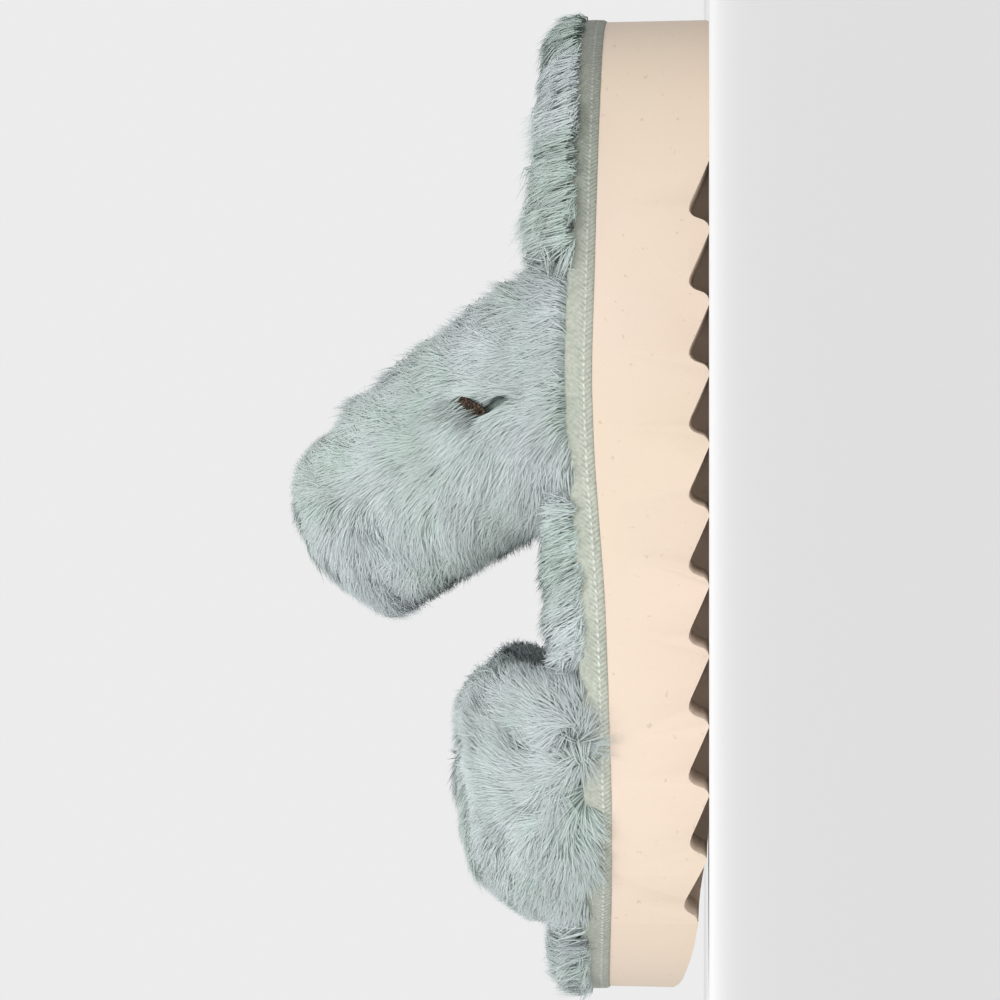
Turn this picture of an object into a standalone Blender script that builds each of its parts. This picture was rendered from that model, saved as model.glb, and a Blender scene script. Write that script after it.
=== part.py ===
"""Fuzzy slide slipper, left shoe: platform sole, taped footbed and two fur bands.

Units are metres, +Z is up, +Y points to the toe and +X to the inner (medial) side.
The sizes below drive everything. The tables hold shares of them.
"""

import math
import random

import bmesh
import bpy
import numpy as np

SHOE_NAME = "fuzzy_slide_slipper"

# Sole
SHOE_LENGTH = 0.270
BALL_WIDTH = 0.100
SOLE_HEIGHT = 0.030
TOE_SPRING = 0.0088
HEEL_EDGE = 0.0018

# Saw-tooth lugs along both edges of the sole
LUG_START = 0.0577
LUG_TOE_ROOM = 0.0280
LUG_PITCH = 0.0190
LUG_PITCH_STEP = 0.00018
LUG_DEPTH = 0.0057
LUG_RUN = 0.016
LUG_MOUTH_OVERCUT = 0.008
LUG_DRAFT = 0.78
LUG_TOE_FADE = 0.11

# Footbed and its woven edge tape
JOINT_GAP = 0.0003
TAPE_HEIGHT = 0.0070
TAPE_WALL = 0.0016
TAPE_OVERHANG = 0.0005
TAPE_ROUNDING = 0.0007
FOOTBED_PILE = 0.0085
FOOTBED_OVERHANG = 0.0012
FOOTBED_DISH = 0.0035

# Fur bands
MARGIN_WALL = 0.0030
BAND_WALL = 0.0070
BAND_SWELL = 0.0022
BAND_SEAT = 0.0006
BAND_SIDE_ROOM = 0.0010
TOE_BAND_TOP = 0.0698
TOE_BAND_SETBACK = 0.0252
TOE_BAND_WIDTH = 0.0673
TOE_MOUTH_DEPTH = 0.0155
TOE_FRONT_SETBACK = 0.0068
TOE_BAND_SKEW = 0.0060
INSTEP_BAND_TOP = 0.1158
INSTEP_BAND_PLACE = 0.375
INSTEP_BAND_WIDTH = 0.0597
INSTEP_LEAN_REAR = 0.0425
INSTEP_LEAN_FRONT = 0.0300
INSTEP_BAND_SKEW = 0.0040
ARCH_FULLNESS = 2.35

# Locks of the pile, raised on the cells of each fur surface
LOCK_CELL = 0.0062
LOCK_HEIGHT = 0.0032
LOCK_SWEEP = 0.0050
LOCK_SEED = 7

# Plan of the foam wall: share of the length, shares of the ball width to each side
OUTLINE = (
    # along, lateral, medial
    (0.030, 0.228, 0.232),
    (0.080, 0.322, 0.330),
    (0.150, 0.366, 0.370),
    (0.250, 0.377, 0.375),
    (0.380, 0.384, 0.350),
    (0.500, 0.418, 0.350),
    (0.600, 0.464, 0.400),
    (0.700, 0.500, 0.460),
    (0.780, 0.496, 0.492),
    (0.850, 0.455, 0.488),
    (0.920, 0.350, 0.430),
    (0.970, 0.195, 0.305),
)
TOE_TIP_SIDE = 0.055

# Upper face of the foam: share of the length, share of the sole height
TOP_LINE = (
    # along, height
    (0.00, 0.935),
    (0.10, 0.955),
    (0.20, 0.980),
    (0.30, 1.005),
    (0.37, 1.020),
    (0.45, 0.995),
    (0.52, 0.945),
    (0.60, 0.890),
    (0.70, 0.853),
    (0.80, 0.830),
    (0.86, 0.838),
    (0.93, 0.868),
    (1.00, 0.915),
)

# Walking face past the ball: share of the length, share of the toe spring
SPRING_LINE = (
    # along, rise
    (0.795, 0.000),
    (0.835, 0.050),
    (0.875, 0.240),
    (0.910, 0.345),
    (0.942, 0.520),
    (0.960, 0.670),
    (0.980, 0.850),
    (0.992, 1.050),
    (1.000, 1.300),
)

# One lug groove in side view: share of the pitch from its corner, share of its depth
LUG_GROOVE = (
    # along, depth
    (-0.725, 0.00),
    (-0.400, 0.47),
    (-0.115, 0.90),
    (-0.045, 0.98),
    (0.020, 1.00),
    (0.070, 0.91),
    (0.114, 0.74),
    (0.142, 0.50),
    (0.170, 0.25),
    (0.215, 0.08),
    (0.268, 0.00),
)
DRAFT_CENTRE = -0.42

# Footbed pile from rim to middle: share of the way in, share of the pile, of the dish
FOOTBED_RINGS = (
    # inward, pile, dish
    (0.10, 1.00, 0.00),
    (0.24, 1.04, 0.18),
    (0.42, 1.00, 0.60),
    (0.62, 1.00, 0.90),
    (0.82, 1.00, 1.00),
)

# Rows across each band, rear edge to front edge
TOE_BAND_ROWS = (
    # across, crown, wall
    (0.00, 0.950, 0.50),
    (0.07, 0.980, 0.82),
    (0.17, 0.996, 0.97),
    (0.28, 1.000, 1.00),
    (0.39, 0.999, 1.00),
    (0.50, 0.994, 1.00),
    (0.61, 0.986, 1.00),
    (0.72, 0.976, 1.00),
    (0.83, 0.960, 0.98),
    (0.93, 0.920, 0.85),
    (1.00, 0.868, 0.50),
)
INSTEP_BAND_ROWS = (
    # across, crown, wall
    (0.00, 0.948, 0.50),
    (0.08, 0.980, 0.82),
    (0.19, 0.998, 0.97),
    (0.31, 1.000, 1.00),
    (0.43, 0.996, 1.00),
    (0.55, 0.980, 1.00),
    (0.67, 0.955, 1.00),
    (0.79, 0.920, 0.98),
    (0.91, 0.862, 0.85),
    (1.00, 0.795, 0.50),
)

# Throat cut of the toe band: share of the way around from the lateral foot, of its depth
TOE_MOUTH = (
    # around, depth
    (0.00, 0.02),
    (0.22, 0.00),
    (0.33, 0.22),
    (0.42, 0.80),
    (0.49, 1.00),
    (0.57, 0.85),
    (0.66, 0.35),
    (0.76, 0.00),
    (1.00, 0.08),
)

STATIONS = 40
NORMAL_REACH = 0.0075

for old in list(bpy.data.objects):
    bpy.data.objects.remove(old, do_unlink=True)

shoeCollection = bpy.data.collections.new(SHOE_NAME)
bpy.context.scene.collection.children.link(shoeCollection)
cutterCollection = bpy.data.collections.new("cutters")
bpy.context.scene.collection.children.link(cutterCollection)

shoeFrame = bpy.data.objects.new("shoe_frame", None)
shoeFrame.location = (0.0, -SHOE_LENGTH / 2, 0.0)
shoeCollection.objects.link(shoeFrame)

rng = random.Random(LOCK_SEED)


def makeMaterial(name, colour, roughness, metallic=0.0):
    material = bpy.data.materials.new(name)
    material.use_nodes = True
    shader = material.node_tree.nodes["Principled BSDF"]
    shader.inputs["Base Color"].default_value = (*colour, 1.0)
    shader.inputs["Roughness"].default_value = roughness
    shader.inputs["Metallic"].default_value = metallic
    return material


def addObject(name, bm, material=None, cutter=False):
    bmesh.ops.recalc_face_normals(bm, faces=bm.faces[:])
    mesh = bpy.data.meshes.new(name)
    bm.to_mesh(mesh)
    bm.free()
    obj = bpy.data.objects.new(name, mesh)
    obj.parent = shoeFrame
    if cutter:
        cutterCollection.objects.link(obj)
        obj.hide_render = True
        obj.display_type = "WIRE"
    else:
        shoeCollection.objects.link(obj)
        mesh.materials.append(material)
    return obj


def addBoolean(obj, cutter, operation):
    boolean = obj.modifiers.new(cutter.name, "BOOLEAN")
    boolean.operation = operation
    boolean.solver = "EXACT"
    boolean.use_self = operation == "DIFFERENCE"
    boolean.object = cutter


def closedSpline(points, steps):
    """Centripetal Catmull-Rom curve through a closed ring of 2D points."""
    points = np.array(points)
    count = len(points)
    curve = []
    for i in range(count):
        p0, p1, p2, p3 = (points[(i + k) % count] for k in (-1, 0, 1, 2))
        t0 = 0.0
        t1 = t0 + math.sqrt(np.linalg.norm(p1 - p0))
        t2 = t1 + math.sqrt(np.linalg.norm(p2 - p1))
        t3 = t2 + math.sqrt(np.linalg.norm(p3 - p2))
        for step in range(steps):
            t = t1 + (t2 - t1) * step / steps
            a1 = (t1 - t) / (t1 - t0) * p0 + (t - t0) / (t1 - t0) * p1
            a2 = (t2 - t) / (t2 - t1) * p1 + (t - t1) / (t2 - t1) * p2
            a3 = (t3 - t) / (t3 - t2) * p2 + (t - t2) / (t3 - t2) * p3
            b1 = (t2 - t) / (t2 - t0) * a1 + (t - t0) / (t2 - t0) * a2
            b2 = (t3 - t) / (t3 - t1) * a2 + (t - t1) / (t3 - t1) * a3
            curve.append((t2 - t) / (t2 - t1) * b1 + (t - t1) / (t2 - t1) * b2)
    return np.array(curve)


def smoothTable(x, xs, ys):
    """Monotone cubic reading of a table at x."""
    xs = np.asarray(xs, float)
    ys = np.asarray(ys, float)
    x = min(max(x, xs[0]), xs[-1])
    i = int(min(max(np.searchsorted(xs, x) - 1, 0), len(xs) - 2))
    slopes = np.diff(ys) / np.diff(xs)

    def tangent(k):
        if k == 0 or k == len(xs) - 1:
            return slopes[min(k, len(slopes) - 1)]
        before = slopes[k - 1]
        after = slopes[k]
        if before * after <= 0:
            return 0.0
        return 2 * before * after / (before + after)

    h = xs[i + 1] - xs[i]
    t = (x - xs[i]) / h
    m0 = tangent(i) * h
    m1 = tangent(i + 1) * h
    return (
        (2 * t**3 - 3 * t**2 + 1) * ys[i]
        + (t**3 - 2 * t**2 + t) * m0
        + (-2 * t**3 + 3 * t**2) * ys[i + 1]
        + (t**3 - t**2) * m1
    )


def column(table, k):
    return [row[k] for row in table]


# Plan outline of the sole

outlineRing = [(0.0, 0.0)]
for along, lateral, medial in OUTLINE:
    outlineRing.append((-lateral * BALL_WIDTH, along * SHOE_LENGTH))
outlineRing.append((TOE_TIP_SIDE * BALL_WIDTH, SHOE_LENGTH))
for along, lateral, medial in reversed(OUTLINE):
    outlineRing.append((medial * BALL_WIDTH, along * SHOE_LENGTH))
outlineCurve = closedSpline(outlineRing, 24)
toeIndex = int(np.argmax(outlineCurve[:, 1]))
lateralCurve = outlineCurve[: toeIndex + 1]
medialCurve = np.vstack([outlineCurve[toeIndex:], outlineCurve[:1]])[::-1]

# Stations crowd towards heel and toe, so the round ends keep their shape
stations = [
    SHOE_LENGTH * (1 - math.cos(math.pi * j / STATIONS)) / 2 for j in range(STATIONS + 1)
]


def wallX(y, side):
    """Half outline at y: side -1 is lateral, +1 is medial."""
    curve = lateralCurve if side < 0 else medialCurve
    return float(np.interp(y, curve[:, 1], curve[:, 0]))


def wallNormal(y, side):
    reach = min(NORMAL_REACH * SHOE_LENGTH, y, SHOE_LENGTH - y)
    if reach <= 0:
        return np.array([0.0, -1.0 if y < SHOE_LENGTH / 2 else 1.0])
    dx = wallX(y + reach, side) - wallX(y - reach, side)
    normal = np.array([side * 2 * reach, -side * dx])
    return normal / np.linalg.norm(normal)


def wallPoint(y, side, inset):
    """Point of the outline at y, moved inwards by inset."""
    return np.array([wallX(y, side), y]) - wallNormal(y, side) * inset


def topLine(y):
    return SOLE_HEIGHT * smoothTable(y / SHOE_LENGTH, column(TOP_LINE, 0), column(TOP_LINE, 1))


def springLine(y):
    share = y / SHOE_LENGTH
    return TOE_SPRING * smoothTable(share, column(SPRING_LINE, 0), column(SPRING_LINE, 1))


def tapeTop(y):
    return topLine(y) + JOINT_GAP + TAPE_HEIGHT


def ringLoop(inset):
    """Closed loop of (x, y, station y): lateral side to the toe, medial side back."""
    loop = []
    for y in stations:
        x, yy = wallPoint(y, -1, inset)
        loop.append((x, yy, y))
    for y in stations[-2:0:-1]:
        x, yy = wallPoint(y, 1, inset)
        loop.append((x, yy, y))
    return loop


def loftRings(bm, rings, closed):
    """Quads between successive rings of vertices, each ring a closed loop."""
    faces = []
    count = len(rings[0])
    pairs = list(zip(rings, rings[1:]))
    if closed:
        pairs.append((rings[-1], rings[0]))
    for lower, upper in pairs:
        for i in range(count):
            j = (i + 1) % count
            faces.append(bm.faces.new((lower[i], lower[j], upper[j], upper[i])))
    return faces


def raiseLocks(bm, faces, sweep):
    """Poke each cell and draw its middle out into a leaning lock."""
    heights = []
    for face in faces:
        size = math.sqrt(face.calc_area())
        heights.append((face.normal.copy(), face.calc_center_median(), size))
    poked = bmesh.ops.poke(bm, faces=faces)
    tips = poked["verts"]
    for tip in tips:
        normal, centre, size = min(heights, key=lambda item: (item[1] - tip.co).length_squared)
        share = min(1.0, size / LOCK_CELL)
        lift = LOCK_HEIGHT * share * rng.uniform(0.72, 1.0)
        lean = np.array(sweep(np.array(centre))) * LOCK_SWEEP * share * rng.uniform(0.7, 1.0)
        normal = np.array(normal)
        lean = lean - normal * float(lean @ normal)
        tip.co = tip.co + type(tip.co)(normal * lift + lean)


# Outsole: plan prism, trimmed by the side profile and cut by the lug grooves

soleMaterial = makeMaterial("cream_foam", (0.84, 0.71, 0.57), 0.62)
tapeMaterial = makeMaterial("sage_tape", (0.34, 0.41, 0.34), 0.85)
furMaterial = makeMaterial("seafoam_fur", (0.41, 0.51, 0.48), 0.90)
rimFurMaterial = makeMaterial("seafoam_footbed_fur", (0.39, 0.48, 0.455), 0.90)

planBm = bmesh.new()
planLoop = ringLoop(0.0)
planRings = []
for level in (-SOLE_HEIGHT, 2 * SOLE_HEIGHT):
    planRings.append([planBm.verts.new((x, y, level)) for x, y, base in planLoop])
loftRings(planBm, planRings, closed=False)
planBm.faces.new(planRings[0])
planBm.faces.new(planRings[1])
outsole = addObject("outsole", planBm, soleMaterial)

profileTop = [(y, topLine(y)) for y in stations]
profileTop[0] = (-HEEL_EDGE, topLine(0.0))
profileTop[-1] = (SHOE_LENGTH + HEEL_EDGE, topLine(SHOE_LENGTH))
springStart = SPRING_LINE[0][0] * SHOE_LENGTH
profileBottom = [(-HEEL_EDGE, HEEL_EDGE * 1.6), (HEEL_EDGE * 0.45, HEEL_EDGE * 0.5)]
profileBottom.append((HEEL_EDGE * 1.4, 0.0))
profileBottom.append((springStart, 0.0))
for y in stations[:-1]:
    if y > springStart + NORMAL_REACH * SHOE_LENGTH:
        profileBottom.append((y, springLine(y)))
profileBottom.append((SHOE_LENGTH + HEEL_EDGE, springLine(SHOE_LENGTH) + HEEL_EDGE))
profileBm = bmesh.new()
profileRings = []
for x in (-BALL_WIDTH, BALL_WIDTH):
    ring = [profileBm.verts.new((x, y, z)) for y, z in profileTop]
    ring += [profileBm.verts.new((x, y, z)) for y, z in reversed(profileBottom)]
    profileRings.append(ring)
loftRings(profileBm, profileRings, closed=False)
profileBm.faces.new(profileRings[0])
profileBm.faces.new(profileRings[1])
addBoolean(outsole, addObject("sole_side_profile", profileBm, cutter=True), "INTERSECT")


def addGroove(bm, corner, side, depth):
    """One tapered groove, open at the wall and blind towards the middle."""
    bottom = springLine(corner)
    slope = math.atan2(springLine(corner) - springLine(corner - LUG_PITCH / 2), LUG_PITCH / 2)
    section = [(a * LUG_PITCH, d * depth) for a, d in LUG_GROOVE]
    section.append((section[-1][0], -depth))
    section.append((section[0][0], -depth))
    centre = DRAFT_CENTRE * LUG_PITCH
    wall = wallX(corner, side)
    rings = []
    for scale, x in ((1.0, wall + side * LUG_MOUTH_OVERCUT), (LUG_DRAFT, wall - side * LUG_RUN)):
        ring = []
        for a, d in section:
            along = centre + (a - centre) * scale
            up = d * scale
            y = corner + along * math.cos(slope) - up * math.sin(slope)
            z = bottom + along * math.sin(slope) + up * math.cos(slope)
            ring.append(bm.verts.new((x, y, z)))
        rings.append(ring)
    loftRings(bm, rings, closed=False)
    bm.faces.new(rings[0])
    bm.faces.new(rings[1])


def lugCorner(i):
    return LUG_START + i * LUG_PITCH - LUG_PITCH_STEP * i * (i - 1) / 2


lugCount = 1
while lugCorner(lugCount) < SHOE_LENGTH - LUG_TOE_ROOM:
    lugCount += 1

grooveBm = bmesh.new()
for i in range(lugCount):
    corner = lugCorner(i)
    fade = 1 - LUG_TOE_FADE * max(0, i - (lugCount - 3))
    for side in (-1, 1):
        addGroove(grooveBm, corner, side, LUG_DEPTH * fade)
addBoolean(outsole, addObject("lug_grooves", grooveBm, cutter=True), "DIFFERENCE")

# Edge tape: a thin upright ring that follows the sole's upper face

tapeBm = bmesh.new()
tapeSection = (
    # inset, height above its foot
    (-TAPE_OVERHANG, 0.0),
    (-TAPE_OVERHANG, TAPE_HEIGHT - TAPE_ROUNDING),
    (-TAPE_OVERHANG + TAPE_ROUNDING, TAPE_HEIGHT),
    (TAPE_WALL, TAPE_HEIGHT),
    (TAPE_WALL, 0.0),
)
tapeRings = []
for inset, height in tapeSection:
    ring = []
    for x, y, base in ringLoop(inset):
        ring.append(tapeBm.verts.new((x, y, topLine(base) + JOINT_GAP + height)))
    tapeRings.append(ring)
loftRings(tapeBm, tapeRings, closed=True)
addObject("edge_tape", tapeBm, tapeMaterial)

# Footbed: board and fur pile inside the tape, dished in the middle

footbedInset = TAPE_WALL + JOINT_GAP
spineRear = 0.15 * SHOE_LENGTH
spineFront = 0.84 * SHOE_LENGTH


def spinePoint(base):
    y = min(max(base, spineRear), spineFront)
    return np.array([(wallX(y, -1) + wallX(y, 1)) / 2, y])


bedBm = bmesh.new()
bedRings = []
rimSection = (
    # inset, reference level, height above it
    (footbedInset, topLine, JOINT_GAP),
    (footbedInset, tapeTop, 0.0),
    (-FOOTBED_OVERHANG * 0.2, tapeTop, JOINT_GAP * 2),
    (-FOOTBED_OVERHANG, tapeTop, FOOTBED_PILE * 0.50),
    (FOOTBED_OVERHANG, tapeTop, FOOTBED_PILE * 0.88),
)
for inset, level, height in rimSection:
    ring = []
    for x, y, base in ringLoop(inset):
        ring.append(bedBm.verts.new((x, y, level(base) + height)))
    bedRings.append(ring)
outerLoop = ringLoop(FOOTBED_OVERHANG)
for inward, pile, dish in FOOTBED_RINGS:
    ring = []
    for x, y, base in outerLoop:
        spine = spinePoint(base)
        point = spine + (np.array([x, y]) - spine) * (1 - inward)
        z = tapeTop(point[1]) + FOOTBED_PILE * pile - FOOTBED_DISH * dish
        ring.append(bedBm.verts.new((point[0], point[1], z)))
    bedRings.append(ring)
bedFaces = loftRings(bedBm, bedRings, closed=False)
count = len(bedRings[0])
bottomRing = bedRings[0]
topRing = bedRings[-1]
half = STATIONS
topSpine = {}
for j in range(half + 1):
    spine = spinePoint(stations[j])
    key = round(spine[1], 6)
    if key not in topSpine:
        z = tapeTop(spine[1]) + FOOTBED_PILE - FOOTBED_DISH
        topSpine[key] = bedBm.verts.new((spine[0], spine[1], z))
for j in range(half):
    lateral = (j, j + 1)
    medial = ((count - j) % count, (count - j - 1) % count)
    corners = [bottomRing[k] for k in (lateral[0], lateral[1], medial[1], medial[0])]
    bedBm.faces.new(list(dict.fromkeys(corners)))
    near = topSpine[round(spinePoint(stations[j])[1], 6)]
    far = topSpine[round(spinePoint(stations[j + 1])[1], 6)]
    for first, second in (lateral, medial):
        corners = [topRing[first], topRing[second], far, near]
        bedFaces.append(bedBm.faces.new(list(dict.fromkeys(corners))))
bmesh.ops.recalc_face_normals(bedBm, faces=bedBm.faces[:])
lockedFaces = bedFaces[2 * count :]


def footbedSweep(centre):
    outward = centre[0] / (BALL_WIDTH / 2)
    return (0.5 * outward, 0.7, 0.3)


raiseLocks(bedBm, lockedFaces, footbedSweep)
footbed = addObject("fur_footbed", bedBm, rimFurMaterial)

# Bands: hollow arches whose thin margins go down between tape and footbed


class Band:
    """Shape of one band, read by its own solid and by its clearance in the footbed."""

    def __init__(self, rows, top, rear, front, skew):
        self.rows = rows
        self.top = top
        self.rear = rear
        self.front = front
        self.skew = skew

    def lengthwise(self, across, rise, around):
        """Position along the shoe of a point of the arch."""
        rearEdge = self.rear(rise, around)
        frontEdge = self.front(rise, around)
        return rearEdge + (frontEdge - rearEdge) * across

    def wall(self, across):
        return BAND_WALL * smoothTable(across, column(self.rows, 0), column(self.rows, 2))

    def crown(self, across):
        return self.top * smoothTable(across, column(self.rows, 0), column(self.rows, 1))

    def footPoint(self, across, side, inset, level):
        """Point of the lasting margin, level 0 on the sole and 1 at the tape's top."""
        y = self.lengthwise(across, 0.0, 0.0 if side < 0 else 1.0)
        x, yy = wallPoint(y, side, inset)
        low = topLine(y) + JOINT_GAP
        return np.array([x, yy, low + (tapeTop(y) - low) * level])

    def archPoint(self, across, theta, around, depth):
        """Point of the arch, depth below the outer skin."""
        wall = self.wall(across)
        innerInset = footbedInset + MARGIN_WALL
        inset = innerInset - (wall - depth) * (innerInset + BAND_SWELL) / BAND_WALL
        c = math.cos(theta)
        s = math.sin(theta)
        reach = -math.copysign(abs(c) ** (2 / ARCH_FULLNESS), c)
        rise = abs(s) ** (2 / ARCH_FULLNESS)
        y = self.lengthwise(across, 0.0, 0.0)
        left = wallPoint(y, -1, inset)
        right = wallPoint(y, 1, inset)
        seat = tapeTop(y) + BAND_SEAT
        flat = (left + right) / 2 + (right - left) / 2 * reach
        forward = self.lengthwise(across, rise, around) - self.lengthwise(across, 0.0, 0.0)
        height = seat + (self.crown(across) - depth - seat) * rise
        return np.array([flat[0] + self.skew * rise, flat[1] + forward, height])

    def angles(self, cells):
        """Angles that divide the arch into cells of equal width."""
        fine = np.linspace(0.0, math.pi, 400)
        path = np.array([self.archPoint(0.5, t, 0.5, 0.0) for t in fine])
        steps = np.linalg.norm(np.diff(path[:, [0, 2]], axis=0), axis=1)
        length = np.concatenate([[0.0], np.cumsum(steps)])
        shares = np.linspace(0.0, 1.0, cells + 1)
        return np.interp(shares * length[-1], length, fine), shares, length[-1]


toeBandFront = SHOE_LENGTH - TOE_BAND_SETBACK
toeBandRear = toeBandFront - TOE_BAND_WIDTH
instepBandRear = SHOE_LENGTH * INSTEP_BAND_PLACE - INSTEP_BAND_WIDTH / 2
instepBandFront = instepBandRear + INSTEP_BAND_WIDTH


def toeRear(rise, around):
    cut = smoothTable(around, column(TOE_MOUTH, 0), column(TOE_MOUTH, 1))
    return toeBandRear + TOE_MOUTH_DEPTH * cut


def toeFront(rise, around):
    return toeBandFront - TOE_FRONT_SETBACK * rise**2


def instepRear(rise, around):
    return instepBandRear + INSTEP_LEAN_REAR * rise


def instepFront(rise, around):
    return instepBandFront + INSTEP_LEAN_FRONT * rise


def bandSolid(name, band, sweep):
    cells = round(band.angles(4)[2] / LOCK_CELL)
    angles, shares, length = band.angles(cells)
    bm = bmesh.new()
    outer = []
    inner = []
    for across in column(band.rows, 0):
        outerRow = []
        innerRow = []
        for side, levels in ((-1, (0.0, 1.0)), (1, (1.0, 0.0))):
            for level in levels:
                low = band.footPoint(across, side, footbedInset, level)
                high = band.footPoint(across, side, footbedInset + MARGIN_WALL, level)
                outerRow.append(low)
                innerRow.append(high)
        arch = []
        archInner = []
        for theta, share in zip(angles, shares):
            arch.append(band.archPoint(across, theta, share, 0.0))
            archInner.append(band.archPoint(across, theta, share, band.wall(across)))
        outer.append([bm.verts.new(p) for p in outerRow[:2] + arch + outerRow[2:]])
        inner.append([bm.verts.new(p) for p in innerRow[:2] + archInner + innerRow[2:]])
    furFaces = []
    columns = len(outer[0])
    for r in range(len(outer) - 1):
        for c in range(columns - 1):
            face = bm.faces.new((outer[r][c], outer[r][c + 1], outer[r + 1][c + 1], outer[r + 1][c]))
            bm.faces.new((inner[r][c], inner[r + 1][c], inner[r + 1][c + 1], inner[r][c + 1]))
            if 2 <= c < columns - 3 and 0 < r < len(outer) - 2:
                furFaces.append(face)
        for c in (0, columns - 1):
            bm.faces.new((outer[r][c], outer[r + 1][c], inner[r + 1][c], inner[r][c]))
    for r in (0, len(outer) - 1):
        for c in range(columns - 1):
            bm.faces.new((outer[r][c], inner[r][c], inner[r][c + 1], outer[r][c + 1]))
    bmesh.ops.recalc_face_normals(bm, faces=bm.faces[:])
    raiseLocks(bm, furFaces, sweep)
    return addObject(name, bm, furMaterial)


def bandClearance(name, band):
    """Room in the footbed for a band's two margins and the foot of its arch."""
    angles, shares, length = band.angles(40)
    spread = BAND_SIDE_ROOM / (band.front(0, 0) - band.rear(0, 0))
    rows = [-spread] + list(np.linspace(0.0, 1.0, 7)) + [1 + spread]
    bm = bmesh.new()
    for side in (-1, 1):
        order = list(zip(angles, shares)) if side < 0 else list(zip(angles, shares))[::-1]
        inner = []
        outer = []
        for across in rows:
            level = min(max(across, 0.0), 1.0)
            deep = footbedInset + MARGIN_WALL + JOINT_GAP
            innerRow = [band.footPoint(across, side, deep, k) for k in (-0.6, 1.0)]
            outerRow = [band.footPoint(across, side, -BAND_WALL * 2, k) for k in (-0.6, 1.0)]
            ground = tapeTop(band.lengthwise(level, 0.0, 0.0))
            for theta, share in order:
                point = band.archPoint(across, theta, share, band.wall(across) + JOINT_GAP * 1.6)
                if len(innerRow) > 7:
                    break
                if share in (0.0, 1.0):
                    continue
                innerRow.append(point)
                outerRow.append(band.archPoint(across, theta, share, -BAND_WALL * 2))
            assert innerRow[-1][2] > ground
            inner.append([bm.verts.new(p) for p in innerRow])
            outer.append([bm.verts.new(p) for p in outerRow])
        loftRings(bm, [a + b[::-1] for a, b in zip(inner, outer)], closed=False)
        for a, b in ((inner[0], outer[0]), (inner[-1], outer[-1])):
            for k in range(len(a) - 1):
                bm.faces.new((a[k], a[k + 1], b[k + 1], b[k]))
    return addObject(name, bm, cutter=True)


def toeSweep(centre):
    middle = (toeBandRear + toeBandFront) / 2
    along = (centre[1] - middle) / TOE_BAND_WIDTH
    return (0.0, 1.6 * along, 0.7)


def instepSweep(centre):
    rise = min(1.0, (centre[2] - SOLE_HEIGHT) / (INSTEP_BAND_TOP - SOLE_HEIGHT))
    rear = instepRear(rise, 0.5)
    along = (centre[1] - rear) / (instepFront(rise, 0.5) - rear)
    return (0.0, -1.0 + 1.5 * along, 0.6)


toeBand = Band(TOE_BAND_ROWS, TOE_BAND_TOP, toeRear, toeFront, TOE_BAND_SKEW)
instepBand = Band(
    INSTEP_BAND_ROWS, INSTEP_BAND_TOP, instepRear, instepFront, INSTEP_BAND_SKEW
)
bandSolid("toe_band", toeBand, toeSweep)
bandSolid("instep_band", instepBand, instepSweep)
addBoolean(footbed, bandClearance("toe_band_room", toeBand), "DIFFERENCE")
addBoolean(footbed, bandClearance("instep_band_room", instepBand), "DIFFERENCE")
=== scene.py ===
import math
import bmesh
import bpy
import numpy as np
from mathutils import Matrix, Vector
from mathutils.kdtree import KDTree


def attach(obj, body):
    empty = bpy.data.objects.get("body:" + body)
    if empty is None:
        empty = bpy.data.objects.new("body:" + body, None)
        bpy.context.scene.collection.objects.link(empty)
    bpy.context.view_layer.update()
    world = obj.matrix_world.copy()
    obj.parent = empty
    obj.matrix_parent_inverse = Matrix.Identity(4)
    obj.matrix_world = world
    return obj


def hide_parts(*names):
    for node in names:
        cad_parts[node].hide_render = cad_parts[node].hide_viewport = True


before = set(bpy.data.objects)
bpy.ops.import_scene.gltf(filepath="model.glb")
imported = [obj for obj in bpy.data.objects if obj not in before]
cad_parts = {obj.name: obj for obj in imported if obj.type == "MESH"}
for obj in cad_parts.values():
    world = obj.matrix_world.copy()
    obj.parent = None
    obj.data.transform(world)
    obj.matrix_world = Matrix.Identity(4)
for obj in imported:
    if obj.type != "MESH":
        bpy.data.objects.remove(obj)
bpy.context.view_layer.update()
rng = np.random.default_rng(11)
strandShare = 1.0

# the shoe's own lines, the same ones that its solids follow (metres, y counted from the heel)
shoe = {
    "length": 0.270,
    "ballWidth": 0.100,
    "soleHeight": 0.030,
    "jointGap": 0.0003,
    "tapeHeight": 0.0070,
    "tapeWall": 0.0016,
    "toeTipSide": 0.055,
    "normalReach": 0.0075,
    "outline": (
        (0.030, 0.228, 0.232), (0.080, 0.322, 0.330), (0.150, 0.366, 0.370),
        (0.250, 0.377, 0.375), (0.380, 0.384, 0.350), (0.500, 0.418, 0.350),
        (0.600, 0.464, 0.400), (0.700, 0.500, 0.460), (0.780, 0.496, 0.492),
        (0.850, 0.455, 0.488), (0.920, 0.350, 0.430), (0.970, 0.195, 0.305),
    ),
    "topLine": (
        (0.00, 0.935), (0.10, 0.955), (0.20, 0.980), (0.30, 1.005), (0.37, 1.020),
        (0.45, 0.995), (0.52, 0.945), (0.60, 0.890), (0.70, 0.853), (0.80, 0.830),
        (0.86, 0.838), (0.93, 0.868), (1.00, 0.915),
    ),
}


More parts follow.
